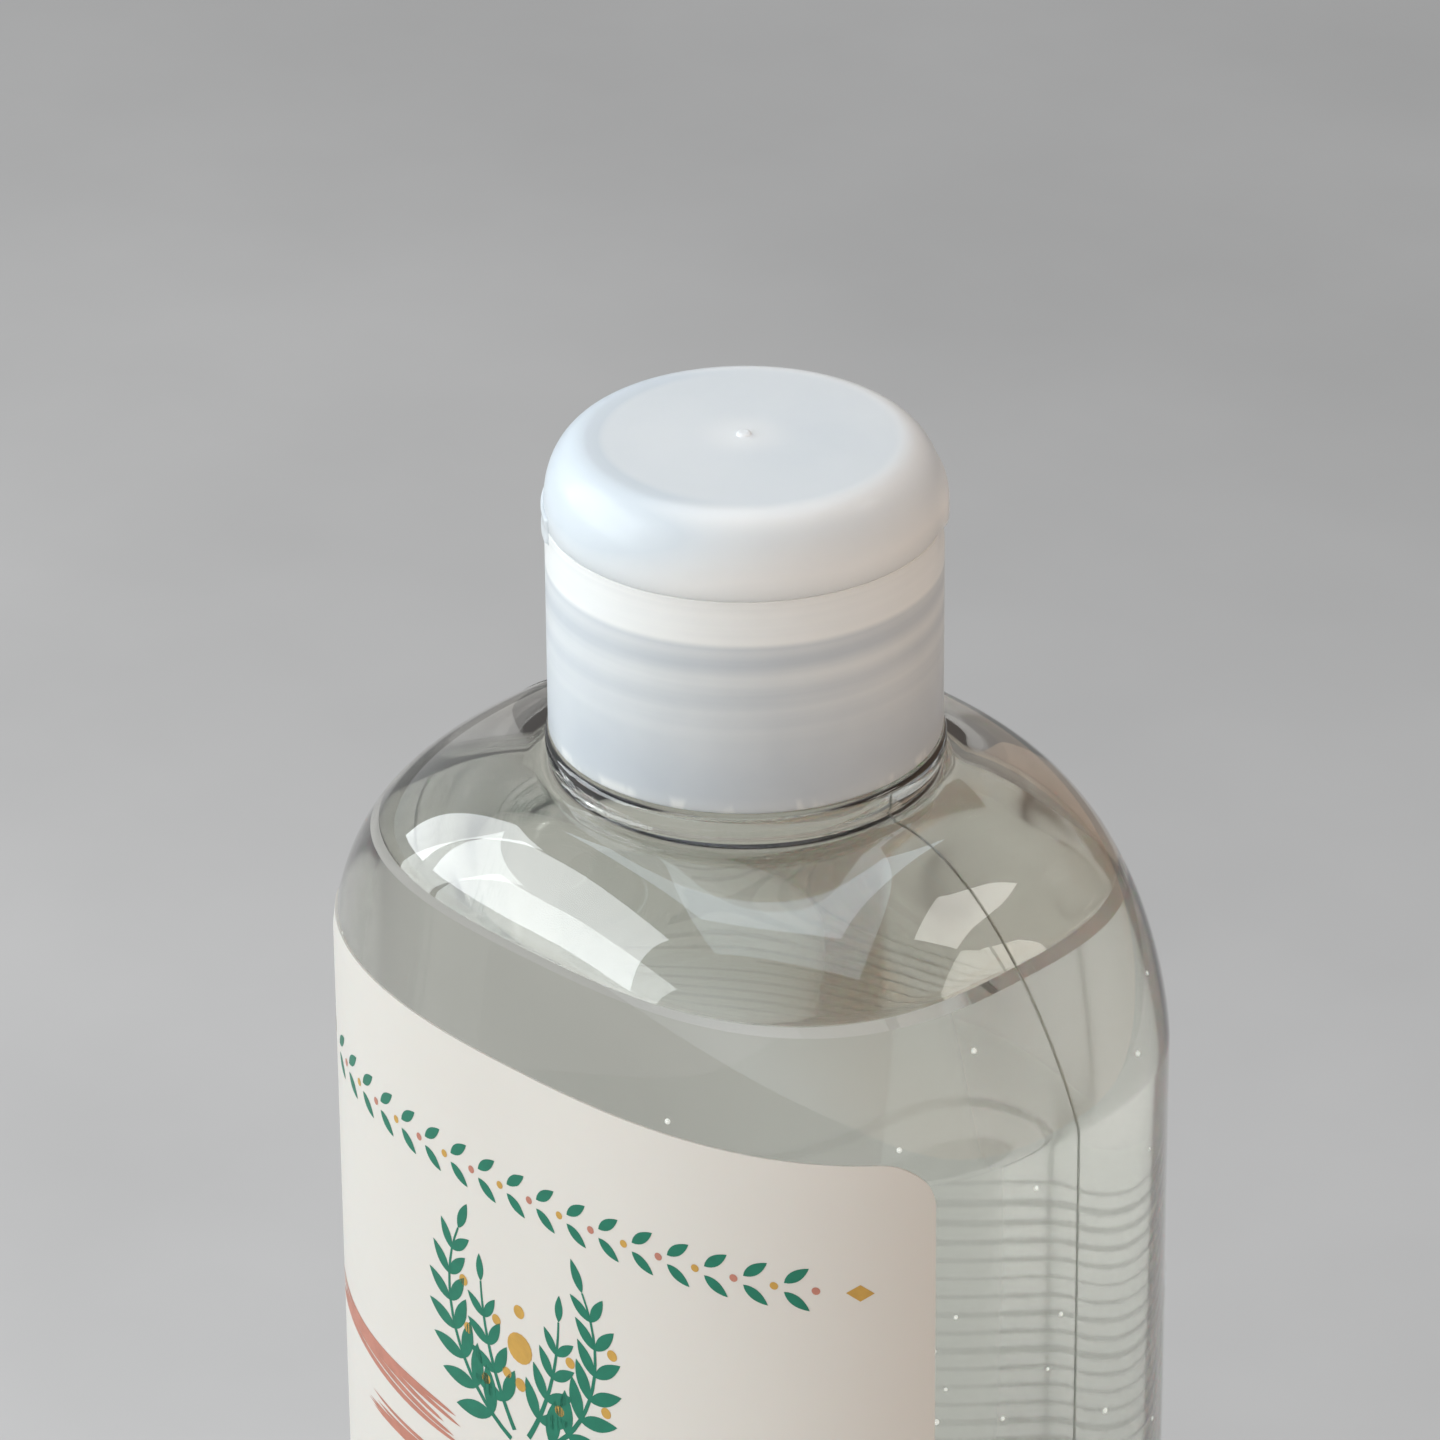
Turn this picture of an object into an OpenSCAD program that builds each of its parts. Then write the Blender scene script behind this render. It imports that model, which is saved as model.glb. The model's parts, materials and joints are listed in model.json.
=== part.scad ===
// Oval clear bottle of micellar water with a screw-on flip-top closure and two labels.
// Millimetres. +Z is up, X runs along the wide side of the oval, the front label faces -Y.
// The origin is the middle of the base, on the surface that the bottle stands on.

/* [Bottle body] */
// Width of the oval body, along X
body_w = 71.8; // [62:0.1:90]
// Depth of the oval body, along Y
body_d = 51.3; // [44:0.1:70]
// Squareness of the oval, where 2 is a true ellipse
body_square = 2.47; // [2:0.01:3.2]
// Height of the straight wall, where the shoulder starts
body_h = 126.2; // [100:0.1:200]
// Thickness of the moulded wall
wall = 0.7; // [0.4:0.05:1.2]
// Thickness of the base
base_t = 1.2; // [0.8:0.1:2]
// Radius of the edge round the base
base_round = 5; // [3:0.5:9]
// Width of the flat ring that the bottle stands on
foot_w = 2.4; // [1.5:0.1:5]
// Height of the pushed-up middle of the base
punt_h = 3.6; // [1:0.1:8]

/* [Shoulder] */
// Height of the shoulder
shoulder_h = 20; // [16:0.1:36]
// Diameter of the shoulder's round start under the neck
shoulder_top_d = 32.4; // [31:0.1:36]
// Reach of the flat start of the shoulder along X
flare_w = 11.3; // [5:0.1:14]
// Reach of the flat start of the shoulder along Y
flare_d = 9.4; // [2:0.1:9.4]
// Length of the steep lower part of the shoulder
steep_h = 2; // [1:0.1:12]
// Extra squareness half way up the shoulder
shoulder_square = 0.53; // [0:0.01:0.9]
// Thickness of the shoulder where it meets the neck
shoulder_t = 1.3; // [0.8:0.1:2]

/* [Neck] */
// Diameter of the ring under the closure
ring_d = 31.5; // [31:0.1:36]
// Height of the ring under the closure
ring_h = 1.9; // [1:0.1:3]
// Height of the short neck between shoulder and ring
collar_h = 0.7; // [0.4:0.1:2]
// Depth of the groove that this short neck makes under the ring
collar_cut = 0.3; // [0.2:0.1:1]
// Diameter of the locating step just above the ring
step_d = 27; // [26:0.1:27.6]
// Height of the locating step
step_h = 2.6; // [1:0.1:4]
// Diameter of the neck at the root of its thread
neck_d = 25; // [24.4:0.1:25.6]
// Bore of the neck
neck_bore = 21.8; // [20:0.1:22.2]

/* [Closure] */
// Outer diameter of the closure
cap_d = 31; // [30:0.1:33]
// Height of the closure up to the seam under the lid
cap_h = 18.3; // [16:0.1:24]
// Thickness of the closure's skirt
skirt_t = 1.5; // [1:0.1:1.8]
// Depth of the deck below the seam
deck_drop = 3.2; // [2:0.1:5]
// Thickness of the deck
deck_t = 1; // [0.8:0.1:2]
// Thickness of the lip that the lid fits over
lip_t = 0.8; // [0.6:0.1:1.2]
// Height of this lip above the seam
lip_h = 1.2; // [0.6:0.1:1.6]
// Height of the spout above the deck
spout_h = 5.2; // [3.6:0.1:6]
// Diameter of the spout at the deck
spout_base_d = 9; // [7:0.1:12]
// Diameter of the spout at its mouth
spout_top_d = 5.2; // [4.4:0.1:6]
// Diameter of the hole in the spout
orifice_d = 3; // [2:0.1:3.6]
// Length of the plug seal inside the neck
plug_h = 3.4; // [2:0.1:5]
// Thickness of the plug seal
plug_t = 0.9; // [0.6:0.1:1.4]
// Direction of the lid's thumb tab about Z, from +X
tab_angle = 45; // [0:1:359]

/* [Lid] */
// Height of the lid above the seam
lid_h = 6.4; // [5.6:0.1:12]
// Thickness of the lid's wall and roof
lid_t = 1.1; // [0.9:0.05:1.3]
// Width of the rounding round the lid's top
round_w = 3.5; // [2:0.1:6]
// Height of the rounding round the lid's top
round_h = 5; // [3:0.1:5.2]
// Rise of the lid's nearly flat top at its middle
crown_h = 0.2; // [0:0.05:0.6]
// Diameter of the gate mark on the lid's top
gate_d = 1.3; // [0.8:0.1:2]
// Height of the gate mark
gate_h = 0.25; // [0.1:0.05:0.4]
// How deep the lid's pin goes into the spout
pin_in = 1.4; // [0.8:0.1:2]
// Angle that the thumb tab takes up round the lid
tab_span = 34; // [20:1:50]
// How far the thumb tab stands out
tab_out = 0.35; // [0.2:0.05:0.8]
// Height of the thumb tab
tab_h = 3.6; // [2.5:0.1:5]
// Depth of the finger recess under the tab
recess_in = 0.45; // [0.2:0.05:0.7]
// Height of the finger recess
recess_h = 2.2; // [1:0.1:4]

/* [Hinge] */
// Length of the film hinge along its axis
hinge_len = 7; // [5:0.5:12]
// Diameter of the film hinge's bead
hinge_d = 0.6; // [0.5:0.05:0.8]

/* [Labels] */
// Thickness of both labels
label_t = 0.15; // [0.1:0.01:0.3]
// Width of the front label, measured along the wall
front_w = 74; // [40:0.5:78]
// Height of the front label
front_h = 112; // [60:0.5:120]
// Height of the front label's top edge above the end of the straight wall
front_rise = 2; // [-20:0.1:2]
// Width of the back label, measured along the wall
back_w = 72; // [40:0.5:78]
// Height of the back label
back_h = 86; // [50:0.5:100]
// Distance from the end of the straight wall down to the back label
back_drop = 22; // [2:0.5:30]
// Radius of the labels' corners
label_round = 4; // [1:0.5:8]

/* [Filling] */
// Height of the liquid's level above the base
fill_h = 137.6; // [60:0.1:141]

/* [Clearances] */
// Gap between the closure's rim and the ring on the neck
rim_gap = 0.3; // [0.1:0.05:0.5]
// Gap between the neck's top and the underside of the deck
land_gap = 0.15; // [0.05:0.05:0.3]
// Gap round the plug seal in the neck's bore
plug_gap = 0.08; // [0.05:0.01:0.15]
// Gap at the seam between lid and closure
seam_gap = 0.14; // [0.08:0.01:0.25]
// Gap between the closure's lip and the lid's wall
lip_gap = 0.12; // [0.08:0.01:0.2]
// Gap round the lid's pin in the spout's hole
pin_gap = 0.1; // [0.08:0.01:0.2]
// Gap round the hinge bead in the lid
hinge_gap = 0.06; // [0.04:0.01:0.1]
// Gap between the liquid and the wall
fill_gap = 0.05; // [0.02:0.01:0.1]
// Gap under a label
label_gap = 0.03; // [0.02:0.01:0.06]

/* [Hidden] */

// Facets round the oval, a multiple of four, and rows in each curved stretch
sides = 72;
shoulder_rows = 14;
base_rows = 5;
punt_rows = 4;
label_cols = 48;
dome_rows = 8;
// Facets of the round bodies and of the smallest round ones
smooth = 96;
small = 24;

half_w = body_w / 2;
half_d = body_d / 2;
neck_z = body_h + shoulder_h;
ring_z = neck_z + collar_h;
cap_z = ring_z + ring_h + rim_gap;
seam_z = cap_z + cap_h;
deck_z = seam_z - deck_drop;
neck_top = deck_z - deck_t - land_gap;
lid_top = seam_z + lid_h;
cap_r = cap_d / 2;
// Width of the small edge breaks on the closure's parts
edge_bevel = 0.25;
// The film hinge's axis lies just outside the closure's wall
hinge_out = 0.05;
hinge_r = cap_r + hinge_out;
// The inner skin starts a little inside the bore, which then cuts it to size
bore_margin = 1;
inner_r = neck_bore / 2 - bore_margin;
inner_top = neck_z - shoulder_t;

// Point number i of an oval with half axes a and b and squareness n
function oval_pt(a, b, n, i) =
    let (c = cos(360 * i / sides), s = sin(360 * i / sides))
    [a * sign(c) * pow(abs(c), 2 / n), b * sign(s) * pow(abs(s), 2 / n)];

// One level of a loft: [height, half width, half depth, squareness]
function ring_pts(row) = [
    for (i = [0:sides - 1])
        let (p = oval_pt(row[1], row[2], row[3], i)) [p[0], p[1], row[0]]
];

function bezier(p, u) =
    p[0] * pow(1 - u, 3) + 3 * p[1] * u * pow(1 - u, 2) + 3 * p[2] * pow(u, 2) * (1 - u) + p[3] * pow(u, 3);

// Level of the shoulder at u, from its top at 0 to the wall at 1.
// It starts as a circle of radius r at height top and ends as the oval, drawn in by skin.
function shoulder_row(u, r, top, skin) =
    let (
        w = half_w - skin,
        d = half_d - skin,
        flat = shoulder_top_d / 2 - r,
        a = bezier([r, r + flat + flare_w, w, w], u),
        b = bezier([r, r + flat + flare_d, d, d], u),
        z = bezier([top, top, body_h + steep_h, body_h], u),
        g = (a - r) / (w - r)
    )
    [z, a, b, 2 + (body_square - 2) * g + shoulder_square * 4 * g * (1 - g)];

// Levels of the rounded edge, the foot and the pushed-up middle, drawn in by skin and raised by lift
function base_levels(skin, lift) = concat(
    [
        for (j = [0:base_rows])
            let (
                a = 90 * j / base_rows,
                inset = skin + (base_round - skin) * (1 - cos(a)),
                z = lift + (base_round - lift) * (1 - sin(a))
            )
            [z, half_w - inset, half_d - inset, body_square]
    ],
    [
        for (j = [0:punt_rows - 1])
            let (s = 1 - j / punt_rows, inset = base_round + foot_w)
            [lift + punt_h * (1 - s * s), (half_w - inset) * s, (half_d - inset) * s, body_square]
    ]
);

function shoulder_levels(r, top, skin) = [
    for (k = [0:shoulder_rows]) shoulder_row(k / shoulder_rows, r, top, skin)
];

// Side faces between the levels of one skin, whose points start at number base
function band_faces(levels, base, inward) = [
    for (k = [0:levels - 2], i = [0:sides - 1])
        let (
            j = (i + 1) % sides,
            p = base + k * sides,
            q = p + sides,
            f = [p + i, p + j, q + j, q + i]
        )
        inward ? [f[3], f[2], f[1], f[0]] : f
];

// Closes the last level of one skin with a point in its middle
function fan_faces(base, middle, inward) = [
    for (i = [0:sides - 1])
        let (j = (i + 1) % sides)
        inward ? [base + j, base + i, middle] : [base + i, base + j, middle]
];

module oval_shell() {
    outer = concat(shoulder_levels(shoulder_top_d / 2, neck_z, 0), base_levels(0, 0));
    inner = concat(shoulder_levels(inner_r, inner_top, wall), base_levels(wall, base_t));
    n = len(outer);
    outer_pts = [for (row = outer) each ring_pts(row)];
    inner_pts = [for (row = inner) each ring_pts(row)];
    m = n * sides;
    middles = [[0, 0, punt_h], [0, 0, punt_h + base_t]];
    rim = [for (i = [0:sides - 1]) let (j = (i + 1) % sides) [i, m + i, m + j, j]];
    polyhedron(
        points = concat(outer_pts, inner_pts, middles),
        faces = concat(
            band_faces(n, 0, false),
            fan_faces((n - 1) * sides, 2 * m, false),
            band_faces(n, m, true),
            fan_faces(m + (n - 1) * sides, 2 * m + 1, true),
            rim
        ),
        convexity = 6
    );
}

module bottle() {
    collar_r = ring_d / 2 - collar_cut;
    step_z = ring_z + ring_h + step_h;
    color([0.82, 0.86, 0.84, 0.45]) difference() {
        union() {
            oval_shell();
            rotate_extrude($fn = smooth) polygon([
                [0, neck_z - shoulder_t / 2],
                [collar_r, neck_z - shoulder_t / 2],
                [collar_r, ring_z],
                [ring_d / 2, ring_z],
                [ring_d / 2, ring_z + ring_h],
                [step_d / 2, ring_z + ring_h],
                [step_d / 2, step_z],
                [neck_d / 2, step_z + (step_d - neck_d) / 2],
                [neck_d / 2, neck_top],
                [0, neck_top]
            ]);
        }
        translate([0, 0, inner_top - bore_margin])
            cylinder(h = neck_top - inner_top + 2 * bore_margin, d = neck_bore, $fn = smooth);
    }
}

// Levels of the liquid's skin from its surface down to the wall. Where the surface lies is found
// on a finer set of levels, and levels nearer to it than the margin are left out.
function fill_levels(skin) =
    let (
        steps = 8 * shoulder_rows,
        fine = [for (k = [0:steps]) shoulder_row(k / steps, inner_r, inner_top, skin)],
        at = [for (row = fine) if (row[0] <= fill_h) row],
        top = len(at) > 0 ? at[0] : fine[steps],
        margin = 0.5
    )
    concat(
        [[fill_h, top[1], top[2], top[3]]],
        [for (row = shoulder_levels(inner_r, inner_top, skin)) if (row[0] < fill_h - margin) row]
    );

module micellar_water() {
    skin = wall + fill_gap;
    lift = base_t + fill_gap;
    rows = concat(fill_levels(skin), base_levels(skin, lift));
    n = len(rows);
    pts = [for (row = rows) each ring_pts(row)];
    color([0.86, 0.85, 0.79, 0.6])
        polyhedron(
            points = concat(pts, [[0, 0, lift + punt_h]]),
            faces = concat(
                [[for (i = [sides - 1:-1:0]) i]],
                band_faces(n, 0, false),
                fan_faces((n - 1) * sides, n * sides, false)
            ),
            convexity = 4
        );
}

// Arc lengths along the wall, counted from its first point
side_arcs = [
    for (i = 0, s = 0; i <= sides; s = s + norm(wall_pt(i + 1, 0) - wall_pt(i, 0)), i = i + 1) [s, i]
];

function wall_pt(i, out) = oval_pt(half_w + out, half_d + out, body_square, i);

// Point of the wall at number q, which may lie between two corners, moved out by out
function skin_pt(q, out) =
    let (i = floor(q), f = q - i)
    wall_pt(i, out) * (1 - f) + wall_pt(i + 1, out) * f;

// Upright film of width w and height h round the wall, from height z0, centred on side point mid.
// Its ends stay a sliver short of the full corner radius, so that they never close to an edge.
module wrapped_label(mid, w, h, z0) {
    s0 = side_arcs[mid][0];
    most_cut = label_round * 0.98;
    cols = [
        for (k = [0:label_cols])
            let (
                t = k / label_cols,
                e = (1 - cos(180 * t)) / 2,
                s = -w / 2 + w * e,
                q = lookup(s0 + s, side_arcs),
                c = max(0, label_round - (w / 2 - abs(s))),
                cut = label_round - sqrt(max(0, pow(label_round, 2) - pow(c, 2)))
            )
            [q, min(cut, most_cut)]
    ];
    n = len(cols);
    pts = [
        for (col = cols)
            let (a = skin_pt(col[0], label_gap), b = skin_pt(col[0], label_gap + label_t))
            each [
                [a[0], a[1], z0 + col[1]], [b[0], b[1], z0 + col[1]],
                [b[0], b[1], z0 + h - col[1]], [a[0], a[1], z0 + h - col[1]]
            ]
    ];
    sides_f = [
        for (k = [0:n - 2], e = [0:3])
            let (p = 4 * k, f = (e + 1) % 4)
            [p + e, p + 4 + e, p + 4 + f, p + f]
    ];
    polyhedron(
        points = pts,
        faces = concat([[0, 1, 2, 3]], sides_f, [[4 * n - 1, 4 * n - 2, 4 * n - 3, 4 * n - 4]]),
        convexity = 4
    );
}

module front_label() {
    color("#f0eee4") wrapped_label(sides * 3 / 4, front_w, front_h, body_h + front_rise - front_h);
}

module back_label() {
    color([0.7, 0.78, 0.74, 0.5]) wrapped_label(sides / 4, back_w, back_h, body_h - back_drop - back_h);
}

// Turns what it holds, drawn with the thumb tab along +X, to the closure's place and direction
module on_closure(z) {
    rotate([0, 0, tab_angle]) translate([0, 0, z]) children();
}

// Round bar along the hinge's axis, wider than the bead by gap on every side
module hinge_bar(gap) {
    translate([-hinge_r, 0, seam_z])
        rotate([90, 0, 0])
            cylinder(h = hinge_len + 2 * gap, d = hinge_d + 2 * gap, center = true, $fn = small);
}

module cap_base() {
    skirt_r = cap_r - skirt_t;
    plug_r = neck_bore / 2 - plug_gap;
    lip_r = cap_r - lid_t - lip_gap;
    deck_low = cap_h - deck_drop - deck_t;
    deck_top = cap_h - deck_drop;
    mouth_z = deck_top + spout_h;
    color([0.9, 0.92, 0.93, 0.9]) difference() {
        on_closure(cap_z) rotate_extrude($fn = smooth) polygon([
            [skirt_r, 0],
            [cap_r - edge_bevel, 0],
            [cap_r, edge_bevel],
            [cap_r, cap_h - edge_bevel],
            [cap_r - edge_bevel, cap_h],
            [lip_r, cap_h],
            [lip_r, cap_h + lip_h - edge_bevel],
            [lip_r - edge_bevel, cap_h + lip_h],
            [lip_r - lip_t, cap_h + lip_h],
            [lip_r - lip_t, deck_top],
            [spout_base_d / 2, deck_top],
            [spout_top_d / 2, mouth_z - edge_bevel],
            [spout_top_d / 2 - edge_bevel, mouth_z],
            [orifice_d / 2, mouth_z],
            [orifice_d / 2, deck_low],
            [plug_r - plug_t, deck_low],
            [plug_r - plug_t, deck_low - plug_h],
            [plug_r - edge_bevel, deck_low - plug_h],
            [plug_r, deck_low - plug_h + 2 * edge_bevel],
            [plug_r, deck_low],
            [skirt_r, deck_low]
        ]);
        on_closure(seam_z) rotate([0, 0, -tab_span / 2])
            rotate_extrude(angle = tab_span, $fn = smooth) polygon([
                [cap_r - recess_in, edge_bevel],
                [cap_r + edge_bevel, edge_bevel],
                [cap_r + edge_bevel, -recess_h],
                [cap_r, -recess_h],
                [cap_r - recess_in, -recess_h / 2]
            ]);
        on_closure(0) hinge_bar(0);
    }
}

// Outline of the lid's rounded top for a shell drawn in by skin, from its wall to its middle.
// The inner rounding is the tighter one, by this share of the skin.
round_loss = 0.6;
function lid_dome(skin) = concat(
    [
        for (k = [0:dome_rows])
            let (a = 90 * k / dome_rows, w = round_w - skin * round_loss, h = round_h - skin * round_loss)
            [cap_r - skin - w * (1 - cos(a)), lid_h - skin - h * (1 - sin(a))]
    ],
    [[0, lid_h - skin + crown_h]]
);

module flip_lid() {
    wall_r = cap_r - lid_t;
    pin_top_r = orifice_d / 2 - pin_gap;
    mouth = spout_h - deck_drop;
    tab_slope = 4 * tab_out;
    color([0.94, 0.95, 0.96, 0.9]) difference() {
        union() {
            on_closure(seam_z) rotate_extrude($fn = smooth) polygon(concat(
                [[wall_r, seam_gap], [cap_r - edge_bevel, seam_gap], [cap_r, seam_gap + edge_bevel]],
                lid_dome(0),
                [for (k = [dome_rows + 1:-1:0]) lid_dome(lid_t)[k]]
            ));
            on_closure(seam_z) rotate_extrude($fn = smooth) polygon([
                [0, mouth - pin_in],
                [pin_top_r - edge_bevel, mouth - pin_in],
                [pin_top_r, mouth],
                [pin_top_r, lid_h - lid_t / 2],
                [0, lid_h - lid_t / 2]
            ]);
            on_closure(seam_z) rotate([0, 0, -tab_span / 2])
                rotate_extrude(angle = tab_span, $fn = smooth) polygon([
                    [cap_r - lid_t / 2, seam_gap],
                    [cap_r + tab_out - edge_bevel, seam_gap],
                    [cap_r + tab_out, seam_gap + edge_bevel],
                    [cap_r + tab_out, tab_h - tab_slope],
                    [cap_r - edge_bevel, tab_h],
                    [cap_r - lid_t / 2, tab_h]
                ]);
            on_closure(lid_top + crown_h - gate_h) cylinder(h = 2 * gate_h, d = gate_d, $fn = small);
        }
        on_closure(0) hinge_bar(hinge_gap);
    }
}

module living_hinge() {
    color([0.94, 0.95, 0.96, 0.9]) on_closure(0) hinge_bar(0);
}

bottle();
micellar_water();
cap_base();
flip_lid();
living_hinge();
front_label();
back_label();
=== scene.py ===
"""Looks of an oval micellar water bottle with a flip-top closure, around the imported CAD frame.

Lengths are in millimetres and turned to metres by MM where a mesh is made. +Z is up, the front
label faces -Y, and the closure's hinge lies on the left as the camera sees it.
"""

import json
import math
import random

import bpy
from mathutils import Matrix, Vector


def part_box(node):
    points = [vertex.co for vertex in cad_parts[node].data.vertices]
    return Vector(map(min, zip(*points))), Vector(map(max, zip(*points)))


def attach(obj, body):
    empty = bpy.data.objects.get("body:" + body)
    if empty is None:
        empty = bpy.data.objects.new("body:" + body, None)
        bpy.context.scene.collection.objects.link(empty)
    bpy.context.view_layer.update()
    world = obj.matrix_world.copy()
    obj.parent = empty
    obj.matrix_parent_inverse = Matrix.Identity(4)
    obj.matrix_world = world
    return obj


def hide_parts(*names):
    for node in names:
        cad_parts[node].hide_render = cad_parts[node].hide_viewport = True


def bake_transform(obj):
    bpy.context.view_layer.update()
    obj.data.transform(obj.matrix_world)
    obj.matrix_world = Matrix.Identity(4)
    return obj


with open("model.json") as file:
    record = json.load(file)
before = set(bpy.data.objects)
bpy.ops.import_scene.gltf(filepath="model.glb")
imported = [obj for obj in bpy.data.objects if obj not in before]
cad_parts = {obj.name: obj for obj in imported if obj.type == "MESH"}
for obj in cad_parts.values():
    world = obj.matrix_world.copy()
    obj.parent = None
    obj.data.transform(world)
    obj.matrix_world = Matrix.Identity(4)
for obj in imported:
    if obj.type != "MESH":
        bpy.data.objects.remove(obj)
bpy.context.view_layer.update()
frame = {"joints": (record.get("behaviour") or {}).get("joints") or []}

MM = 0.001
random.seed(7)


def node_box(name):
    """Corners of a CAD node in millimetres."""
    low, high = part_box(name)
    return [v / MM for v in low], [v / MM for v in high]


# Sizes that the frame gives
HALF_W, HALF_D, NECK_TOP = node_box("bottle")[1]
# The bead of the mould joint reaches the full width
BEAD = 0.05
HALF_W -= BEAD
CAP_Z = node_box("cap_base")[0][2]
FRONT_LOW, FRONT_HIGH = (corner[2] for corner in node_box("front_label"))
BACK_LOW, BACK_HIGH = (corner[2] for corner in node_box("back_label"))
LEVEL_Z = node_box("micellar_water")[1][2]
HINGE = [v / MM for v in next(j for j in frame["joints"] if j["name"] == "lid_hinge")["pos_m"]]
SEAM_Z = HINGE[2]

# The rest of the bottle's outline, as in the CAD source
SQUARE = 2.47
BODY_H = 126.2
WALL = 0.7
BASE_T = 1.2
BASE_ROUND = 5.0
FOOT_W = 2.4
PUNT_H = 3.6
SHOULDER_TOP_R = 16.2
FLARE_W = 11.3
FLARE_D = 9.4
STEEP_H = 2.0
SHOULDER_SQUARE = 0.53
SHOULDER_T = 1.3
NECK_Z = 146.2
RING_R = 15.75
RING_LOW = 146.9
RING_HIGH = 148.8
COLLAR_R = 15.45
STEP_R = 13.5
STEP_TOP = 151.4
NECK_R = 12.5
BORE_R = 10.9
BORE_FLARE = 0.6
# Rows of the inner wall nearer to the liquid's edge than this are left out
EDGE_ROOM = 0.1
LABEL_T = 0.15
LABEL_GAP = 0.03
LABEL_ROUND = 4.0
FRONT_W = 74.0
BACK_W = 72.0
# Room between a label's face in the look and in the CAD source, where the ink lies
INK_ROOM = 0.03
# How far the ink lies over the label's face
INK_UP = 0.018
# How deep a label's glued face is bedded in the wall, so that no air lies between
LABEL_BED = 0.02

# Closure and lid
CAP_R = 15.5
SKIRT_T = 1.5
DECK_Z = SEAM_Z - 3.2
DECK_T = 1.0
LID_T = 1.1
LID_H = 6.4
LIP_T = 0.8
LIP_H = 1.2
SPOUT_H = 5.2
SPOUT_BASE_R = 4.5
SPOUT_TOP_R = 2.6
ORIFICE_R = 1.5
PLUG_R = 10.82
PLUG_T = 0.9
PLUG_H = 3.4
PIN_R = 1.4
PIN_IN = 1.4
ROUND_W = 3.5
ROUND_H = 5.0
SEAM_GAP = 0.03
HINGE_TURN = math.radians(225)
# Turn of the thumb tab on the lid, over a recess in the closure
TAB_TURN = math.radians(45)
THREAD_PITCH = 3.0
THREAD_H = 0.8
# Where the painted light bands of the thread lie behind the skirt
BAND_PHASE = 2.2

# Camera, found by fitting the closure, the label and both outlines in the photograph
CAM_TURN = 0.78183
CAM_RISE = 0.49078
CAM_AWAY = 651.79
CAM_ROLL = -0.00654
CAM_YAW = 0.0031
CAM_FOCUS_PX = 8322.6
IMAGE_PX = 1440
SENSOR_MM = 36.0

# Share of the floor that shines by itself: seen straight on, and seen by way of the clear pieces
FLOOR_GLOW = 0.5
GLASS_GLOW = 0.85
FLOOR_TONE = 0.465
# How far behind the bottle the pale ground ends, for what mirrors in the clear pieces
PAPER_END = 0.48
PAPER_SOFT = 0.15
BEYOND_DIM = 0.6
# Patch at the bottle's foot where it gathers the window's light: how much lighter it is, and where it
# fades, in metres behind the bottle and to the right of it
FOCUS_GAIN = 0.55
FOCUS_BEHIND = (0.03, 0.09)
FOCUS_ACROSS = (-0.18, -0.09)
COOL = (0.92, 0.97, 1.0)
WARM = (0.70, 0.52, 0.39)
# Level directions to the right in the camera's view, away from the camera and towards it
RIGHTWARD = (math.cos(CAM_TURN), math.sin(CAM_TURN), 0)
AWAY = (-math.sin(CAM_TURN), math.cos(CAM_TURN), 0)
NEARER = (math.sin(CAM_TURN), -math.cos(CAM_TURN), 0)

SIDES = 192
SHOULDER_ROWS = 44
WALL_ROWS = 24
BASE_ROWS = 10
PUNT_ROWS = 10


# Meshes

def make_object(name, verts, faces, materials, body, stands_for=(), which=None):
    """Smooth-shaded mesh from millimetre points, riding on a CAD body.

    which gives each face the number of its material.
    """
    mesh = bpy.data.meshes.new(name)
    mesh.from_pydata([(x * MM, y * MM, z * MM) for x, y, z in verts], [], faces)
    for material in materials:
        mesh.materials.append(material)
    for k, poly in enumerate(mesh.polygons):
        poly.use_smooth = True
        if which:
            poly.material_index = which[k]
    mesh.set_sharp_from_angle(angle=math.radians(50))
    obj = bpy.data.objects.new(name, mesh)
    bpy.context.scene.collection.objects.link(obj)
    if body:
        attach(obj, body)
    if stands_for:
        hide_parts(*stands_for)
    return obj


def oval_pt(a, b, n, i, sides=SIDES):
    t = 2 * math.pi * i / sides
    c, s = math.cos(t), math.sin(t)
    x = math.copysign(abs(c) ** (2 / n) * a, c)
    y = math.copysign(abs(s) ** (2 / n) * b, s)
    return x, y


def bezier(p, u):
    v = 1 - u
    return p[0] * v**3 + 3 * p[1] * u * v**2 + 3 * p[2] * u**2 * v + p[3] * u**3


def shoulder_row(u, r, top, skin):
    """[height, half width, half depth, squareness] of the shoulder at u."""
    w, d = HALF_W - skin, HALF_D - skin
    flat = SHOULDER_TOP_R - r
    a = bezier([r, r + flat + FLARE_W, w, w], u)
    b = bezier([r, r + flat + FLARE_D, d, d], u)
    z = bezier([top, top, BODY_H + STEEP_H, BODY_H], u)
    g = (a - r) / (w - r)
    return [z, a, b, 2 + (SQUARE - 2) * g + SHOULDER_SQUARE * 4 * g * (1 - g)]


def shoulder_rows(r, top, skin, count=SHOULDER_ROWS):
    return [shoulder_row(k / count, r, top, skin) for k in range(count + 1)]


def base_rows(skin, lift):
    rows = []
    for j in range(BASE_ROWS + 1):
        a = math.pi / 2 * j / BASE_ROWS
        inset = skin + (BASE_ROUND - skin) * (1 - math.cos(a))
        z = lift + (BASE_ROUND - lift) * (1 - math.sin(a))
        rows.append([z, HALF_W - inset, HALF_D - inset, SQUARE])
    inset = BASE_ROUND + FOOT_W
    for j in range(PUNT_ROWS):
        s = 1 - j / PUNT_ROWS
        rows.append([lift + PUNT_H * (1 - s * s), (HALF_W - inset) * s, (HALF_D - inset) * s, SQUARE])
    return rows


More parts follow.
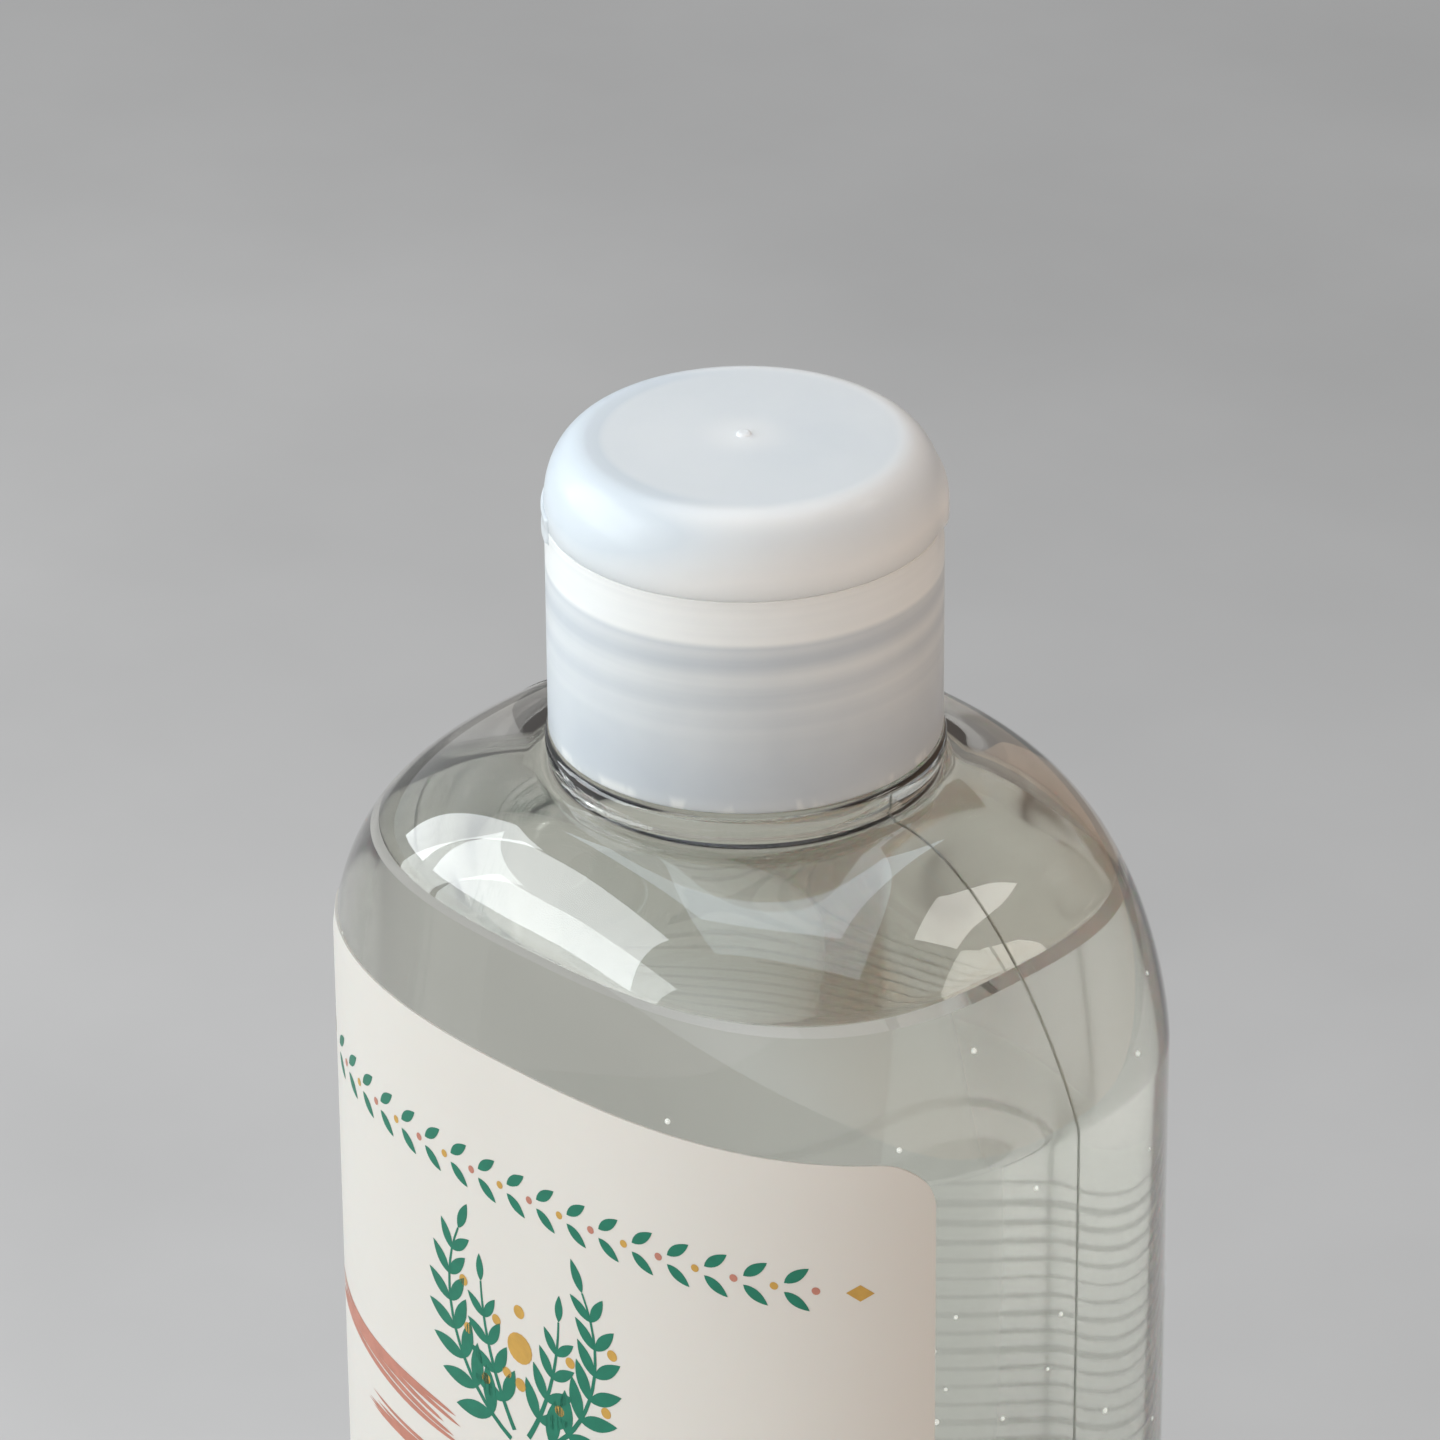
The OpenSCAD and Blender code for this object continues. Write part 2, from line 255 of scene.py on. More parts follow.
def wall_rows(skin, low):
    """Straight wall below the shoulder, without its first row."""
    return [
        [BODY_H + (low - BODY_H) * k / WALL_ROWS, HALF_W - skin, HALF_D - skin, SQUARE]
        for k in range(1, WALL_ROWS)
    ]


def circle_row(z, r):
    return [z, r, r, 2.0]


def ring_points(row, thread=None):
    z, a, b, n = row
    points = []
    for i in range(SIDES):
        x, y = oval_pt(a, b, n, i)
        grow = thread(z, 2 * math.pi * i / SIDES) if thread else 0
        k = 1 + grow / a
        points.append((x * k, y * k, z))
    return points


def band(first, rows, sides=SIDES, flip=False):
    faces = []
    for k in range(rows - 1):
        for i in range(sides):
            j = (i + 1) % sides
            p = first + k * sides
            q = p + sides
            face = (p + i, q + i, q + j, p + j)
            faces.append(face[::-1] if flip else face)
    return faces


def fan(first, middle, sides=SIDES, flip=False):
    faces = []
    for i in range(sides):
        j = (i + 1) % sides
        face = (first + i, middle, first + j)
        faces.append(face[::-1] if flip else face)
    return faces


def sheet_faces(outer, inner, flip=False):
    """Faces of a closed sheet: two skins of (outer + 1) x (inner + 1) points, then its edges."""
    per = (outer + 1) * (inner + 1)
    faces = []
    for k in range(outer):
        for j in range(inner):
            p = k * (inner + 1) + j
            q = p + inner + 1
            faces.append((per + p, per + q, per + q + 1, per + p + 1))
            faces.append((p, p + 1, q + 1, q))
    for k in range(outer):
        for j in (0, inner):
            p = k * (inner + 1) + j
            q = p + inner + 1
            face = (p, q, per + q, per + p)
            faces.append(face if j == 0 else face[::-1])
    for k in (0, outer):
        for j in range(inner):
            p = k * (inner + 1) + j
            face = (p, per + p, per + p + 1, p + 1)
            faces.append(face if k == 0 else face[::-1])
    return [face[:1] + face[:0:-1] for face in faces] if flip else faces


def lathe(profile, warp):
    """Closed ring of revolution from a closed outline of (radius, height) points."""
    verts, faces = [], []
    n = len(profile)
    for r, z in profile:
        for i in range(SIDES):
            t = 2 * math.pi * i / SIDES
            rr, zz = warp(r, z, t)
            verts.append((rr * math.cos(t), rr * math.sin(t), zz))
    for k in range(n):
        m = (k + 1) % n
        for i in range(SIDES):
            j = (i + 1) % SIDES
            faces.append((k * SIDES + i, k * SIDES + j, m * SIDES + j, m * SIDES + i))
    return verts, faces


def rounded(points):
    """Outline of (r, z, radius) corners, each cut by an arc of its radius."""
    out = []
    n = len(points)
    for k, (r, z, rad) in enumerate(points):
        if rad <= 0:
            out.append((r, z))
            continue
        here = Vector((r, z))
        to_prev = Vector(points[k - 1][:2]) - here
        to_next = Vector(points[(k + 1) % n][:2]) - here
        reach = min(rad, 0.45 * to_prev.length, 0.45 * to_next.length)
        a = here + to_prev.normalized() * reach
        b = here + to_next.normalized() * reach
        steps = 5
        for s in range(steps + 1):
            u = s / steps
            p = a * (1 - u) ** 2 + here * 2 * u * (1 - u) + b * u**2
            out.append((p.x, p.y))
    return out


# Materials

def new_material(name):
    mat = bpy.data.materials.new(name)
    mat.use_nodes = True
    return mat, mat.node_tree, mat.node_tree.nodes["Principled BSDF"]


def put(shader, **values):
    names = {
        "color": "Base Color", "rough": "Roughness", "ior": "IOR", "through": "Transmission Weight",
        "sub": "Subsurface Weight", "sub_radius": "Subsurface Radius", "sub_scale": "Subsurface Scale",
        "coat": "Coat Weight", "coat_rough": "Coat Roughness", "specular": "Specular IOR Level",
        "opacity": "Alpha", "glow": "Emission Strength", "glow_color": "Emission Color",
    }
    for key, value in values.items():
        shader.inputs[names[key]].default_value = value


def noise_node(tree, scale, detail=3.0, stretch=(1, 1, 1)):
    """3-D noise in object space, where scale counts its cycles in a metre."""
    coords = tree.nodes.new("ShaderNodeTexCoord")
    mapping = tree.nodes.new("ShaderNodeMapping")
    mapping.inputs["Scale"].default_value = stretch
    noise = tree.nodes.new("ShaderNodeTexNoise")
    noise.inputs["Scale"].default_value = scale
    noise.inputs["Detail"].default_value = detail
    tree.links.new(coords.outputs["Object"], mapping.inputs["Vector"])
    tree.links.new(mapping.outputs["Vector"], noise.inputs["Vector"])
    return noise


def clouded(tree, shader, cloud, *stops):
    """Base colour in soft clouds. Each stop is a place on the noise's scale and a colour."""
    node = tree.nodes.new("ShaderNodeValToRGB")
    for element, (place, color) in zip(node.color_ramp.elements, stops):
        element.position = place
        element.color = (*color, 1)
    tree.links.new(cloud.outputs["Fac"], node.inputs["Fac"])
    tree.links.new(node.outputs["Color"], shader.inputs["Base Color"])


def bump(tree, shader, height, strength, distance):
    node = tree.nodes.new("ShaderNodeBump")
    node.inputs["Strength"].default_value = strength
    node.inputs["Distance"].default_value = distance
    tree.links.new(height, node.inputs["Height"])
    tree.links.new(node.outputs["Normal"], shader.inputs["Normal"])


def rough_noise(tree, shader, noise, low, high):
    node = tree.nodes.new("ShaderNodeMapRange")
    node.inputs["To Min"].default_value = low
    node.inputs["To Max"].default_value = high
    tree.links.new(noise.outputs["Fac"], node.inputs["Value"])
    tree.links.new(node.outputs["Result"], shader.inputs["Roughness"])


def clear(name, color, ior, rough=0.0, coat=0.0, ripple=0.0, opacity=1.0):
    """Clear medium; ior is counted from what lies on the other side of the surface."""
    mat, tree, shader = new_material(name)
    put(shader, color=color, through=1.0, ior=ior, rough=rough, coat=coat, coat_rough=0.0,
        opacity=opacity)
    if ripple:
        wave = noise_node(tree, 70, 2.0, (1, 1, 2.5))
        bump(tree, shader, wave.outputs["Fac"], ripple, 0.0006)
    return mat


def air_bubble():
    """Air in the liquid; its faint glow is painted light for the window's light that it catches."""
    mat, tree, shader = new_material("air_bubble")
    # Emission: a painted glint
    put(shader, color=(1, 1, 1, 1), glow_color=(0.95, 1.0, 1.0, 1), glow=0.5)
    rough_noise(tree, shader, noise_node(tree, 900, 2.0), 0.05, 0.3)
    return mat


def math_node(tree, operation, a, b=None, c=None):
    node = tree.nodes.new("ShaderNodeMath")
    node.operation = operation
    for socket, value in zip(node.inputs, (a, b, c)):
        if isinstance(value, (int, float)):
            socket.default_value = value
        elif value is not None:
            tree.links.new(value, socket)
    return node.outputs[0]


def times(tree, value, *others):
    for other in others:
        value = math_node(tree, "MULTIPLY", value, other)
    return value


def plus(tree, value, *others):
    for other in others:
        value = math_node(tree, "ADD", value, other)
    return value


def scaled(tree, value, factor, shift):
    return math_node(tree, "MULTIPLY_ADD", value, factor, shift)


def flipped(tree, value):
    return math_node(tree, "SUBTRACT", 1.0, value)


def along(tree, vector, direction):
    """Length of a vector socket in a fixed direction."""
    node = tree.nodes.new("ShaderNodeVectorMath")
    node.operation = "DOT_PRODUCT"
    node.inputs[1].default_value = direction
    tree.links.new(vector, node.inputs[0])
    return node.outputs["Value"]


def span_node(tree, value, low, high):
    """0 below low, 1 above high and a soft step between them."""
    node = tree.nodes.new("ShaderNodeMapRange")
    node.interpolation_type = "SMOOTHSTEP"
    node.inputs["From Min"].default_value = low
    node.inputs["From Max"].default_value = high
    tree.links.new(value, node.inputs["Value"])
    return node.outputs["Result"]


def tinted(tree, factor, low, high):
    """Colour between low and high by factor."""
    mix = tree.nodes.new("ShaderNodeMix")
    mix.data_type = "RGBA"
    tree.links.new(factor, mix.inputs["Factor"])
    mix.inputs["A"].default_value = low
    mix.inputs["B"].default_value = high
    return mix.outputs["Result"]


def polypropylene(name, dark, light, place):
    """Translucent closure plastic. place(tree, height, radius, turn) says how light each spot is,
    as painted light and shade for what stands behind the skin there."""
    mat, tree, shader = new_material(name)
    put(shader, sub=0.5, sub_radius=(1.0, 0.95, 1.05), sub_scale=0.0045, ior=1.49, specular=0.2,
        coat=0.25, coat_rough=0.09)
    coords = tree.nodes.new("ShaderNodeTexCoord")
    split = tree.nodes.new("ShaderNodeSeparateXYZ")
    tree.links.new(coords.outputs["Object"], split.inputs[0])
    x, y, z = split.outputs
    height = scaled(tree, z, 1 / MM, -CAP_Z)
    length = math_node(tree, "SQRT", plus(tree, times(tree, x, x), times(tree, y, y)))
    turn = math_node(tree, "ARCTAN2", y, x)
    factor = place(tree, height, times(tree, length, 1 / MM), turn)
    cloud, swing = noise_node(tree, 90, 3.0), 0.2
    factor = scaled(tree, cloud.outputs["Fac"], 2 * swing, plus(tree, factor, -swing))
    tree.links.new(tinted(tree, factor, dark, light), shader.inputs["Base Color"])
    rough_noise(tree, shader, noise_node(tree, 400, 3.0), 0.26, 0.38)
    fine = noise_node(tree, 1600, 2.0)
    bump(tree, shader, fine.outputs["Fac"], 0.1, 0.00005)
    return mat


def skirt_marks_and_painted_light(tree, height, radius, turn):
    """Painted light and shade for what stands behind the skirt: light and dark bands of the thread,
    darker low down and lighter upwards, most over the deck and towards the seam. Also flash marks,
    fine lines and a lighter foot.

    Each pair is where a soft step starts and ends, in millimetres over the skirt's foot.
    """
    foot_out, marks_out, climb_in, lines_in = (0.1, 1.6), (0.5, 1.3), (2.0, 9.5), (5.0, 8.0)
    thread_in, thread_out, deck_in, rim_in = (8.2, 9.4), (13.4, 14.3), (14.2, 14.8), (17.6, 18.1)

    def step(ends):
        return span_node(tree, height, *ends)

    # Painted light and shade of the thread behind the skirt, in bands along its helix
    climb = times(tree, turn, THREAD_PITCH / (2 * math.pi))
    phase = times(tree, math_node(tree, "SUBTRACT", height, climb), 2 * math.pi / THREAD_PITCH)
    wave = math_node(tree, "SINE", plus(tree, phase, BAND_PHASE))
    bands = times(tree, wave, times(tree, step(thread_in), flipped(tree, step(thread_out))), 0.13)
    lines = noise_node(tree, 160, 3.0, (0.12, 0.12, 6))
    bands = scaled(tree, scaled(tree, lines.outputs["Fac"], 0.3, -0.15), step(lines_in), bands)
    marks = noise_node(tree, 420, 2.0, (1, 1, 0.5))
    flash = times(tree, span_node(tree, marks.outputs["Fac"], 0.5, 0.62), 0.35)
    bands = scaled(tree, flash, flipped(tree, step(marks_out)), bands)
    # Painted light: lighter upwards, most over the deck, with a painted highlight towards the seam
    low = times(tree, step(climb_in), 0.2)
    foot = times(tree, flipped(tree, step(foot_out)), 0.12)
    deck = times(tree, step(deck_in), 0.52)
    rim = times(tree, step(rim_in), 0.25)
    return plus(tree, low, foot, plus(tree, deck, bands), rim, 0.2)


def lid_gate_and_painted_light(tree, height, radius, turn):
    """Painted light: a light arc where the rounding ends and a lighter low side. Painted shade darkens
    the outer part on the hinge side. A lighter spot lies round the gate mark.
    """
    above = span_node(tree, height, 20.0, 23.5)
    inside = flipped(tree, span_node(tree, radius, 13.2, 14.6))
    arc = times(tree, span_node(tree, radius, 11.4, 12.8), inside, above, 0.4)
    spot = times(tree, flipped(tree, span_node(tree, radius, 0.5, 4.5)), above, 0.3)
    # Painted light, lighter low down on the side
    low = flipped(tree, span_node(tree, height, 18.3, 23.0))
    # Painted shade on the outer part of the hinge side, the camera's left, kept in thin
    facing = math_node(tree, "COSINE", math_node(tree, "SUBTRACT", turn, HINGE_TURN))
    outer = times(tree, span_node(tree, radius, 10.5, 12.5), -0.95)
    thin = times(tree, span_node(tree, facing, 0.0, 0.9), outer)
    return plus(tree, arc, spot, plus(tree, low, thin), 0.3)


def label_film(name, cream):
    mat, tree, shader = new_material(name)
    put(shader, coat=0.15, coat_rough=0.25, sub=0.05, sub_scale=0.001)
    clouded(tree, shader, noise_node(tree, 40, 4.0), (0.3, [c * 0.97 for c in cream]), (0.7, cream))
    rough_noise(tree, shader, noise_node(tree, 700, 3.0), 0.38, 0.5)
    grain = noise_node(tree, 2400, 2.0)
    bump(tree, shader, grain.outputs["Fac"], 0.1, 0.00004)
    return mat


def ink(name, color, opacity=1.0):
    mat, tree, shader = new_material(name)
    put(shader, opacity=opacity)
    thin, full = [c * 0.86 for c in color], [min(1, c * 1.06) for c in color]
    clouded(tree, shader, noise_node(tree, 900, 3.0), (0.25, thin), (0.75, full))
    rough_noise(tree, shader, noise_node(tree, 1500, 2.0), 0.32, 0.45)
    return mat


def clear_film():
    """Film glued on the wall, so that only its own gloss shows."""
    mat, tree, shader = new_material("clear_film")
    put(shader, color=(0.97, 0.98, 0.975, 1), through=1.0, ior=1.0, rough=0.0, coat=0.6,
        coat_rough=0.05)
    grain = noise_node(tree, 500, 2.0)
    bump(tree, shader, grain.outputs["Fac"], 0.03, 0.0002)
    return mat


# The wall and the liquid are in contact, so the wetted wall bends light as the liquid does, and the
# surface between the two doesn't bend it at all.
PET = clear("clear_pet", (0.965, 0.97, 0.935, 1), 1.57, coat=0.7, ripple=0.004)
PET_WET = clear("clear_pet_wetted", (0.78, 0.79, 0.715, 1), 1.26, rough=0.06, coat=1.0, ripple=0.012)
PET_SEAM = clear("clear_pet_seam", (0.56, 0.58, 0.54, 1), 1.4, rough=0.25, coat=1.0, ripple=0.012)
WATER_TOP = clear("micellar_water_surface", (0.62, 0.63, 0.55, 1), 1.26, ripple=0.006)
WATER_SIDE = clear("micellar_water", (0.985, 0.985, 0.975, 1), 1.26, ripple=0.006, opacity=0.0)
BUBBLE = air_bubble()
# The skirt's first colour is painted shade, where the neck stands behind it; the second is the plastic's
# white
PP_BASE = polypropylene("white_polypropylene", (0.46, 0.51, 0.565, 1), (0.95, 0.965, 0.95, 1),
                        skirt_marks_and_painted_light)
PP_LID = polypropylene("white_polypropylene_lid", (0.67, 0.74, 0.81, 1), (0.975, 0.99, 0.995, 1),
                       lid_gate_and_painted_light)
CREAM = label_film("cream_film", (0.69, 0.655, 0.60))
BACKING = label_film("cream_film_glued_face", (0.93, 0.93, 0.91))
CLEAR_FILM = clear_film()
GREEN = ink("green_ink", (0.004, 0.17, 0.10))
CLAY = ink("terracotta_ink", (0.50, 0.20, 0.14))
GOLD = ink("gold_ink", (0.56, 0.32, 0.06))
PALE = ink("pale_ink", (0.80, 0.83, 0.81), 0.24)


# Bottle

def ridge(distance, width):
    """Smooth bump, 1 in the middle and 0 from half the width out."""
    x = min(1.0, abs(distance) / (width / 2))
    return 0.5 * (1 + math.cos(math.pi * x))


def neck_thread(z, turn):
    """Height of the neck's helical thread over its root."""
    low, high = STEP_TOP + 1.0, NECK_TOP - 1.2
    start = low + 0.6
    turns = (high - start) / THREAD_PITCH
    best = 0.0
    for k in range(int(turns) + 2):
        wound = k + turn / (2 * math.pi)
        if 0 <= wound <= turns:
            fade = min(1.0, wound / 0.1, (turns - wound) / 0.1)
            best = max(best, fade * ridge(z - (start + THREAD_PITCH * wound), 1.7))
    return THREAD_H * best


def inner_shoulder(skin=WALL, count=SHOULDER_ROWS):
    return shoulder_rows(BORE_R + BORE_FLARE, NECK_Z - SHOULDER_T, skin, count)


def liquid_edge():
    """Level of the inner wall that the liquid's edge touches."""
    return min(inner_shoulder(count=800), key=lambda row: abs(row[0] - LEVEL_Z))


def dry_rows():
    """Inner wall of the shoulder down to the liquid, which covers the rest."""
    edge = liquid_edge()
    return [row for row in inner_shoulder() if row[0] > edge[0] + EDGE_ROOM] + [edge]


def build_bottle():
    neck = [circle_row(NECK_TOP, BORE_R + 0.35), circle_row(NECK_TOP, NECK_R - 0.5)]
    neck += [circle_row(NECK_TOP - 0.15, NECK_R - 0.15), circle_row(NECK_TOP - 0.5, NECK_R)]
    z = NECK_TOP - 0.7
    while z > STEP_TOP + 0.8:
        neck.append(circle_row(z, NECK_R))
        z -= 0.22
    collar = [
        (STEP_TOP + 0.5, NECK_R), (STEP_TOP + 0.1, NECK_R + 0.3), (STEP_TOP - 0.4, STEP_R),
        (RING_HIGH + 0.35, STEP_R), (RING_HIGH + 0.05, STEP_R + 0.3), (RING_HIGH, STEP_R + 0.8),
        (RING_HIGH, RING_R - 0.5), (RING_HIGH - 0.12, RING_R - 0.12), (RING_HIGH - 0.4, RING_R),
        (RING_HIGH - 1.0, RING_R), (RING_LOW + 0.4, RING_R), (RING_LOW + 0.1, RING_R - 0.1),
        (RING_LOW, RING_R - 0.22), (RING_LOW - 0.15, COLLAR_R + 0.02), (RING_LOW - 0.4, COLLAR_R),
        (NECK_Z + 0.12, COLLAR_R + 0.25),
    ]
    outer = neck + [circle_row(z, r) for z, r in collar]
    outer += shoulder_rows(SHOULDER_TOP_R, NECK_Z, 0)
    outer += wall_rows(0, BASE_ROUND) + base_rows(0, 0)
    inner_top = NECK_Z - SHOULDER_T
    inner = [circle_row(NECK_TOP - 0.35, BORE_R), circle_row(NECK_TOP - 4, BORE_R)]
    inner += [circle_row(RING_HIGH, BORE_R), circle_row(inner_top + 0.6, BORE_R)]
    inner += [circle_row(inner_top + 0.15, BORE_R + 0.15)]
    inner += dry_rows()
    verts = []
    for row in outer:
        verts += ring_points(row, thread=neck_thread if row[0] > STEP_TOP + 0.5 else None)
    first_inner = len(verts)
    for row in inner:
        verts += ring_points(row)
    verts += [(0, 0, PUNT_H)]
    faces = band(0, len(outer)) + fan((len(outer) - 1) * SIDES, len(verts) - 1)
    faces += band(first_inner, len(inner), flip=True)
    for i in range(SIDES):
        j = (i + 1) % SIDES
        faces.append((i, j, first_inner + j, first_inner + i))
    wet = [int(max(verts[v][2] for v in face) < LEVEL_Z and min(face) < first_inner) for face in faces]
    make_object("bottle_shell", verts, faces, [PET, PET_WET], "bottle", ["bottle"], wet)


def end_profile():
    """Outline of the bottle in the plane of its mould joint, from the collar down to the base."""
    rows = [[RING_HIGH - 0.4, RING_R], [RING_LOW + 0.4, RING_R], [RING_LOW - 0.15, COLLAR_R]]
    rows += [row[:2] for row in shoulder_rows(SHOULDER_TOP_R, NECK_Z, 0)]
    rows += [row[:2] for row in wall_rows(0, BASE_ROUND)]
    return rows


def build_parting_line(side):
    """Fine raised bead that the mould's joint leaves on a narrow end."""
    half, sunk, slope = 0.13, 0.06, 0.4 * BEAD
    section = [(-half, -sunk), (-half * 0.8, slope), (0, BEAD), (half * 0.8, slope), (half, -sunk)]
    n = len(section)
    path = end_profile()
    verts, faces = [], []
    for k, (z, a) in enumerate(path):
        before = path[max(0, k - 1)]
        after = path[min(len(path) - 1, k + 1)]
        dz, da = after[0] - before[0], after[1] - before[1]
        size = math.hypot(dz, da) or 1
        out_a, out_z = -dz / size, da / size
        for y, lift in section:
            verts.append((side * (a + out_a * lift), y, z + out_z * lift))
    for k in range(len(path) - 1):
        for e in range(n):
            f = (e + 1) % n
            face = (k * n + e, (k + 1) * n + e, (k + 1) * n + f, k * n + f)
            faces.append(face if side > 0 else face[::-1])
    ends = [tuple(range(n)), tuple(range(len(verts) - 1, len(verts) - n - 1, -1))]
    faces += ends if side > 0 else [face[::-1] for face in ends]
    name = "parting_line_right" if side > 0 else "parting_line_left"
    make_object(name, verts, faces, [PET_SEAM], "bottle")


# Liquid

def build_liquid():
    """Liquid up to the wall, with an edge that climbs it a little."""
    edge = liquid_edge()
    climb = [(2.6, 0.50), (1.8, 0.48), (1.2, 0.43), (0.8, 0.36), (0.45, 0.25), (0.18, 0.12)]
    rows = []
    for inset, drop in climb:
        rows.append([edge[0] - drop, edge[1] - inset, edge[2] - inset, edge[3]])
    top_rows = len(rows)
    rows.append(edge)
    rows += [row for row in inner_shoulder() if row[0] < edge[0] - EDGE_ROOM]
    rows += wall_rows(WALL, BASE_ROUND) + base_rows(WALL, BASE_T)
    verts = []
    for row in rows:
        verts += ring_points(row)
    verts += [(0, 0, edge[0] - climb[0][1]), (0, 0, BASE_T + PUNT_H)]
    faces = fan(0, len(verts) - 2, flip=True)
    faces += band(0, len(rows))
    faces += fan((len(rows) - 1) * SIDES, len(verts) - 1)
    which = [int(SIDES * (top_rows + 1) <= k) for k in range(len(faces))]
    add_bubbles(verts, faces)
    which += [2] * (len(faces) - len(which))
    make_object("micellar_water_body", verts, faces, [WATER_TOP, WATER_SIDE, BUBBLE], "bottle",
                ["micellar_water"], which)


def add_bubbles(verts, faces):
    """Small air bubbles clinging inside the wall. They are hollows, so their faces look inwards."""
    off_wall = WALL + 0.5
    rings, around = 6, 10
    spots = []
    for _ in range(46):
        turn = random.uniform(-1.1, 1.2) * math.pi / 2 - math.pi / 4
        z = random.uniform(84, LEVEL_Z - 3)
        spots.append((turn, z, random.uniform(0.11, 0.25)))
    for turn, z, r in spots:
        a, b, n = HALF_W - off_wall, HALF_D - off_wall, SQUARE
        if z > BODY_H:
            a, b, n = next(level for level in inner_shoulder(off_wall) if level[0] <= z)[1:]
        x, y = oval_pt(a, b, n, SIDES * turn / (2 * math.pi))
        first = len(verts)
        for k in range(1, rings):
            v = math.pi * k / rings
            for i in range(around):
                t = 2 * math.pi * i / around
                verts.append((x + r * math.sin(v) * math.cos(t), y + r * math.sin(v) * math.sin(t),
                              z + r * math.cos(v)))
        verts.append((x, y, z + r))
        verts.append((x, y, z - r))
        faces += band(first, rings - 1, around, flip=True)
        faces += fan(first, len(verts) - 2, around)
        faces += fan(first + (rings - 2) * around, len(verts) - 1, around, flip=True)


# Labels and print

FINE = 1440


def wall_table():
    """Arc length along the wall from the middle of the front, with the place on the oval there."""
    table = []
    start = FINE * 3 // 4
    walked = 0.0
    last = None
    for k in range(FINE // 2 + 1):
        x, y = oval_pt(HALF_W, HALF_D, SQUARE, start + k, FINE)
        if last:
            walked += math.hypot(x - last[0], y - last[1])
        last = (x, y)
        table.append((walked, start + k))
    return table


WALL_TABLE = wall_table()
SHOULDER_FINE = shoulder_rows(SHOULDER_TOP_R, NECK_Z, 0, 600)


def level_at(z):
    """Half width, half depth and squareness of the bottle's outside at height z."""
    if z <= BODY_H:
        return HALF_W, HALF_D, SQUARE
    return next(row for row in SHOULDER_FINE if row[0] <= z)[1:]


def wall_at(s, out, z, front):
    """Point of the wall at arc length s from the middle of the front or back, moved out."""
    want = abs(s)
    low, high = 0, len(WALL_TABLE) - 1
    while high - low > 1:
        mid = (low + high) // 2
        if WALL_TABLE[mid][0] <= want:
            low = mid
        else:
            high = mid
    s0, i0 = WALL_TABLE[low]
    s1, i1 = WALL_TABLE[high]
    i = i0 + (i1 - i0) * (want - s0) / (s1 - s0)
    a, b, n = level_at(z)
    x, y = oval_pt(a, b, n, i, FINE)
    x0, y0 = oval_pt(a, b, n, i - 1.0, FINE)
    x1, y1 = oval_pt(a, b, n, i + 1.0, FINE)
    size = math.hypot(x1 - x0, y1 - y0)
    x, y = x + (y1 - y0) / size * out, y - (x1 - x0) / size * out
    if s < 0:
        x = -x
    if not front:
        x, y = -x, -y
    return x, y


def corner_cut(s, half, radius):
    c = max(0.0, radius - (half - abs(s)))
    return radius - math.sqrt(max(0.0, radius**2 - c**2))


def build_label(name, node, ends, width, materials, front):
    """Wrapped film with rounded corners and a real thickness; its glued face has the second material."""
    cols, rows = 120, 60
    half = width / 2
    low_z, high_z = ends
    stations = [-half * math.cos(math.pi * k / cols) for k in range(cols + 1)]
    verts = []
    for out in (-LABEL_BED, LABEL_GAP + LABEL_T - INK_ROOM):
        for s in stations:
            cut = min(corner_cut(s, half, LABEL_ROUND), LABEL_ROUND * 0.98)
            for j in range(rows + 1):
                z = low_z + cut + (high_z - low_z - 2 * cut) * j / rows
                x, y = wall_at(s, out, z, front)
                verts.append((x, y, z))
    faces = sheet_faces(cols, rows)
    glued = [int(k % 2 == 1 and k < 2 * cols * rows) for k in range(len(faces))]
    make_object(name, verts, faces, materials, "bottle", [node], glued)


